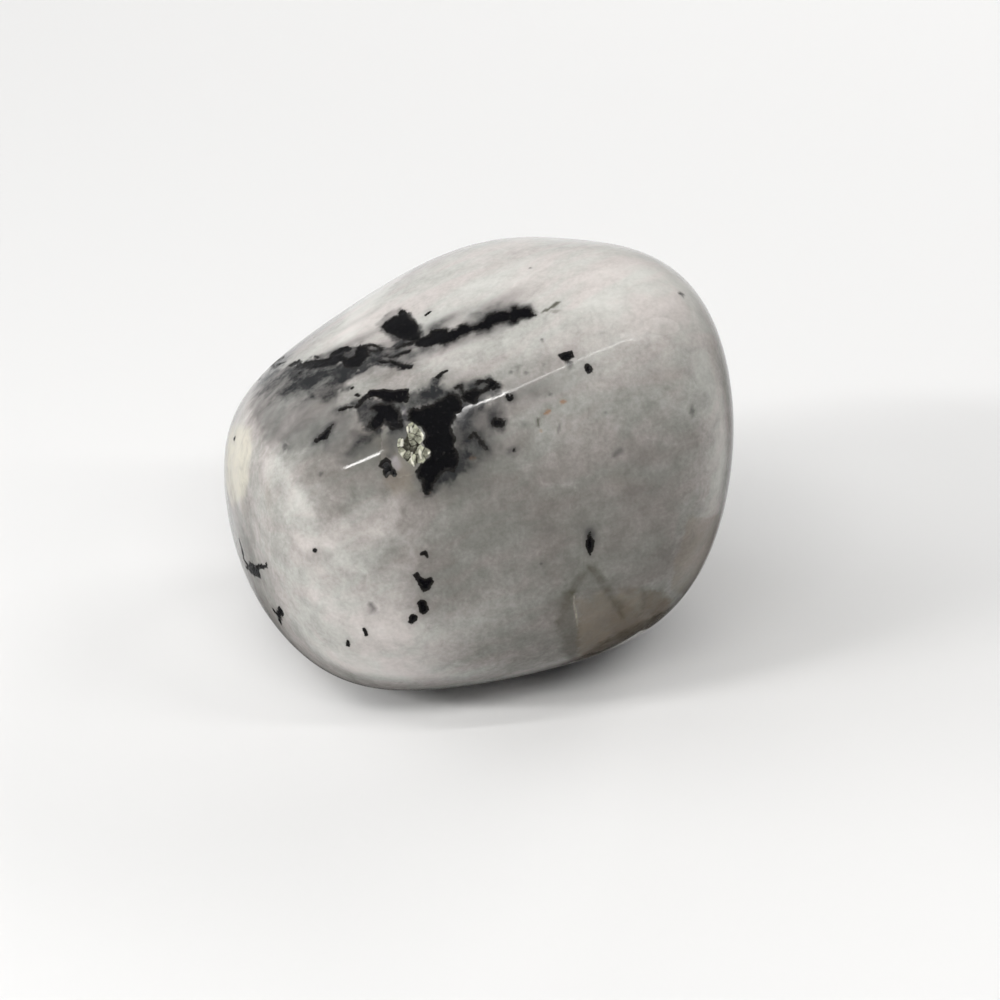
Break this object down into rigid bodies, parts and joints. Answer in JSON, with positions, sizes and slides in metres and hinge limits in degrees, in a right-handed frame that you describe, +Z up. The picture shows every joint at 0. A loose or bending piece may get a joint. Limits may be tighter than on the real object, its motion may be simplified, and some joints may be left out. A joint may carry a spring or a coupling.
{
  "type": "tumbled moonstone",
  "caption": "Tumble-polished moonstone pebble: milky white feldspar with rounded worn faces, black tourmaline streaks and specks, resting on a small flat spot.",
  "frame": {"origin": "on the surface that the stone rests on, under the middle of its outline seen from above", "axes": "+Z up, +X along the stone's longest side to its higher end, -Y towards its rounded front"},
  "size_m": [0.0332, 0.0296, 0.0281],
  "materials": {
    "moonstone": "polished"
  },
  "bodies": {
    "root": {"moonstone": "moonstone"}
  },
  "joints": []
}
